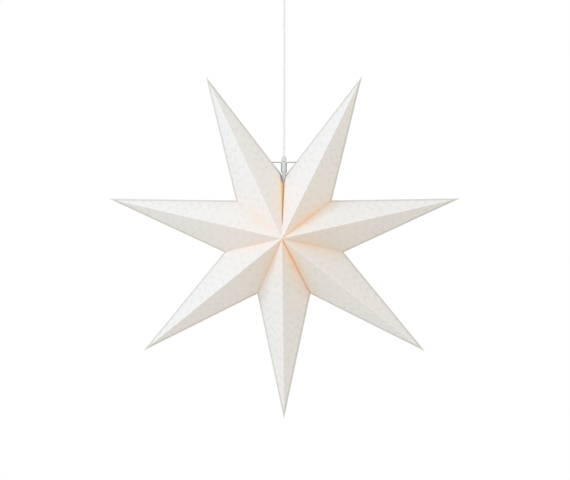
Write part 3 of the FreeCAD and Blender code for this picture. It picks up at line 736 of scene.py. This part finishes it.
class STAR_OT_press_studs(bpy.types.Operator):
    """Sets the two press studs in the seam flaps"""
    bl_idname = "star.press_studs"
    bl_label = "Press studs"

    def execute(self, context):
        brass = drawn_metal("antiqued_brass_stud", "5A4A33", 0.42, 0.3)
        for face in ("front", "back"):
            for part, rim in STUD_RIMS.items():
                low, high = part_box(f"{part}_{face}")
                deselect()
                bpy.ops.mesh.primitive_cylinder_add(
                    vertices=40, radius=rim, depth=high.x - low.x, location=(low + high) / 2,
                    rotation=(0, math.pi / 2, 0))
                stud = settle(named(f"{part}_{face}_disc"))
                apply_modifier(stud, "BEVEL", width=0.35 * MM, segments=3, limit_method="ANGLE")
                smooth(stud)
                finish_piece(stud, f"{part}_{face}", brass)
        return {"FINISHED"}


# ---------------------------------------------------------------- hanging parts
class STAR_OT_flex(bpy.types.Operator):
    """Runs the straight flex from the cord grip up to the clamp in the ceiling cup"""
    bl_idname = "star.flex"
    bl_label = "Flex"

    def execute(self, context):
        low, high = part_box("flex")
        diameter = high.x - low.x
        reach = 6 * diameter
        route = [(0, 0, low.z), (0, 0, low.z + reach), (0, 0, high.z - reach), (0, 0, high.z)]
        curve = bpy.data.curves.new("flex_sheath", "CURVE")
        curve.dimensions = "3D"
        spline = curve.splines.new("NURBS")
        spline.points.add(len(route) - 1)
        for point, place in zip(spline.points, route):
            point.co = (*place, 1.0)
        spline.order_u = 3
        spline.use_endpoint_u = True
        spline.resolution_u = 12
        curve.bevel_depth = diameter / 2
        curve.bevel_resolution = 8
        curve.use_fill_caps = True
        flex = bpy.data.objects.new("flex_sheath", curve)
        context.collection.objects.link(flex)
        finish_piece(flex, "flex", flex_material(context.scene.star_lamp))
        return {"FINISHED"}


class STAR_OT_lamp(bpy.types.Operator):
    """Finishes the lamp holder and the bulb"""
    bl_idname = "star.lamp"
    bl_label = "Holder and bulb"

    def execute(self, context):
        lamp = context.scene.star_lamp
        plastic = plastic_material("moulded_pbt_white", lamp.plastic, 0.45, 0.4)
        brass = drawn_metal("nickelled_brass", "D8D2C2", 0.28, 0.3)
        black = plastic_material("phenolic_insulator", "1C1A19", 0.3, 0.5)
        dress("bulb_collar", plastic)
        turned_in_place("cord_grip_moulding", "cord_grip",
                        [(2.6, 0), (3.6, 0), (5.5, -6.5), (5.5, -10.5), (2.6, -10.5)], [],
                        plastic, 0.5 * MM)
        turned_in_place("holder_cap_moulding", "holder_cap",
                        [(1.5, 0), (3.75, 0), (3.75, -20.95), (6.4, -20.95), (6.4, -22.45), (3.75, -22.45),
                         (3.75, -42), (13.5, -54.1), (13.5, -64)],
                        [(12.3, -64), (12.3, -55.3), (3.75, -44), (1.5, -44)],
                        plastic, 0.8 * MM)
        turned_in_place("holder_sleeve_moulding", "holder_sleeve",
                        [(2.0, 0), (13.5, 0), (13.5, -6), (13.0, -7), (13.0, -29), (13.5, -30), (13.5, -32)],
                        [(10.8, -32), (10.8, -3), (2.0, -3)], plastic, 0.4 * MM)
        for node in ("screw_shell", "centre_contact", "bulb_tip", "bulb_screw_cap"):
            dress(node, brass)
        dress("bulb_insulator", black)
        globe = frosted_bulb_material(lamp)
        dress("light_board", globe)
        dress("bulb_globe", globe)
        dress("wire_hanger", drawn_metal("zinc_plated_spring_wire", "8E8E8C", 0.35, 0.25))
        return {"FINISHED"}


class STAR_OT_ceiling_fitting(bpy.types.Operator):
    """Finishes the ceiling cup and what it hides"""
    bl_idname = "star.ceiling_fitting"
    bl_label = "Ceiling fitting"

    def execute(self, context):
        fitting = context.scene.star_fitting
        zinc = drawn_metal("zinc_plated_steel", "B9BBBC", 0.32, 0.4)
        for node in ("ceiling_plate", "hook", "hook_nut", "swing_link", "clamp_eye", "clamp_screw",
                     "cup_screws"):
            dress(node, zinc)
        nylon = plastic_material("moulded_nylon_natural", "E9E6DC", 0.5, 0.5)
        dress("cord_clamp", nylon)
        dress("terminal_block", nylon)
        dress("terminal_screws", drawn_metal("brass_terminal", "C9B06A", 0.3, 0.3))
        enamel = plastic_material("powder_coated_steel", fitting.enamel, 0.5, 0.6)
        turned_in_place("ceiling_cup_pressing", "ceiling_cup",
                        [(50, 0), (50, -29.2), (44, -41.2), (27.5, -57.5), (13, -65.5), (9.3, -65.5)],
                        [(9.3, -64), (12.5, -64), (26.8, -56), (42.5, -40.5), (48.5, -29.2), (48.5, 0)],
                        enamel, 4.0 * MM)
        return {"FINISHED"}


# ---------------------------------------------------------------- stage
FLOOR_RADIUS = 1.1
FLOOR_BELOW = 0.35      # under the lowest point
SENSOR_WIDTH = 36.0     # in mm, as cameras give it
# daylight and its weaker, warmer return: place from the star's centre, size, watts, colour
LIGHTS = {"key": (Vector((-1.6, -1.7, 1.2)), 1.2, 22.0, "E3ECFF"),
          "fill": (Vector((2.0, -1.6, 0.7)), 1.0, 5.0, "FFEBD0")}


def soft_light(name, place, size, power, colour):
    """Round soft light that faces the star's centre."""
    light = bpy.data.lights.new(name, "AREA")
    light.shape = "DISK"
    light.size = size
    light.energy = power
    light.color = linear(colour)[:3]
    lamp = bpy.data.objects.new(name, light)
    bpy.context.collection.objects.link(lamp)
    lamp.location = CENTRE + place
    lamp.rotation_euler = (-place).to_track_quat("-Z", "Y").to_euler()


class STAR_OT_stage(bpy.types.Operator):
    """Sets the camera, the soft light and the pale floor"""
    bl_idname = "star.stage"
    bl_label = "Stage"

    def execute(self, context):
        stage = context.scene.star_stage
        camera_data = bpy.data.cameras.new("camera")
        camera = bpy.data.objects.new("camera", camera_data)
        context.collection.objects.link(camera)
        aim = CENTRE + Vector((stage.aside, 0, -stage.rise))
        way = Vector((math.sin(stage.turn), -math.cos(stage.turn), 0))
        camera.location = aim + way * stage.distance
        camera.rotation_euler = (-way).to_track_quat("-Z", "Y").to_euler()
        camera_data.sensor_width = SENSOR_WIDTH
        camera_data.lens = camera_data.sensor_width * stage.distance / stage.width
        context.scene.camera = camera

        deselect()
        floor_height = CAD_BOX[0].z - FLOOR_BELOW
        bpy.ops.mesh.primitive_circle_add(
            vertices=96, radius=FLOOR_RADIUS, fill_type="NGON", location=(0, 0, floor_height))
        floor = settle(named("floor"))
        floor.data.materials.append(new_material("painted_floor", "F4F3F1", 0.8)[0])

        world = bpy.data.worlds.new("soft_studio")
        context.scene.world = world
        world.use_nodes = True
        tree = world.node_tree
        tree.nodes.clear()
        # the surroundings give a soft even fill, and show as clean white behind the star
        fill = add_node(tree, "ShaderNodeBackground", {"Color": linear("FBF9F6"), "Strength": 0.77})
        white = add_node(tree, "ShaderNodeBackground", {"Color": (1, 1, 1, 1), "Strength": 1.0})
        ray = add_node(tree, "ShaderNodeLightPath")
        mix = add_node(tree, "ShaderNodeMixShader", _0=ray.outputs["Is Camera Ray"],
                       _1=fill.outputs[0], _2=white.outputs[0])
        add_node(tree, "ShaderNodeOutputWorld", Surface=mix.outputs[0])
        context.scene.view_settings.view_transform = "Standard"

        for name, (place, size, power, colour) in LIGHTS.items():
            soft_light(name, place, size, power, colour)
        return {"FINISHED"}


# ---------------------------------------------------------------- add-on
OPERATORS = (STAR_OT_stage, STAR_OT_flex, STAR_OT_card_panels, STAR_OT_press_studs, STAR_OT_lamp,
             STAR_OT_ceiling_fitting)


class STAR_PT_panel(bpy.types.Panel):
    """Lists the steps and the sizes of the paper star"""
    bl_idname = "STAR_PT_panel"
    bl_label = "Paper star"
    bl_space_type = "VIEW_3D"
    bl_region_type = "UI"
    bl_category = "Paper star"

    def draw(self, context):
        for operator in OPERATORS:
            self.layout.operator(operator.bl_idname)
        for group in ("star_card", "star_lamp", "star_fitting", "star_stage"):
            settings = getattr(context.scene, group)
            box = self.layout.box()
            for name in settings.bl_rna.properties.keys():
                if name not in ("rna_type", "name"):
                    box.prop(settings, name)


GROUPS = {"star_card": CardSettings, "star_lamp": LampSettings,
          "star_fitting": FittingSettings, "star_stage": StageSettings}


def register():
    for group in GROUPS.values():
        bpy.utils.register_class(group)
    for name, group in GROUPS.items():
        setattr(bpy.types.Scene, name, bpy.props.PointerProperty(type=group))
    for cls in (*OPERATORS, STAR_PT_panel):
        bpy.utils.register_class(cls)


def unregister():
    for cls in (STAR_PT_panel, *reversed(OPERATORS)):
        bpy.utils.unregister_class(cls)
    for name, group in GROUPS.items():
        delattr(bpy.types.Scene, name)
        bpy.utils.unregister_class(group)


def main():
    register()
    bpy.ops.star.stage()
    bpy.ops.star.flex()
    bpy.ops.star.card_panels()
    bpy.ops.star.press_studs()
    bpy.ops.star.lamp()
    bpy.ops.star.ceiling_fitting()


if __name__ == "__main__":
    main()
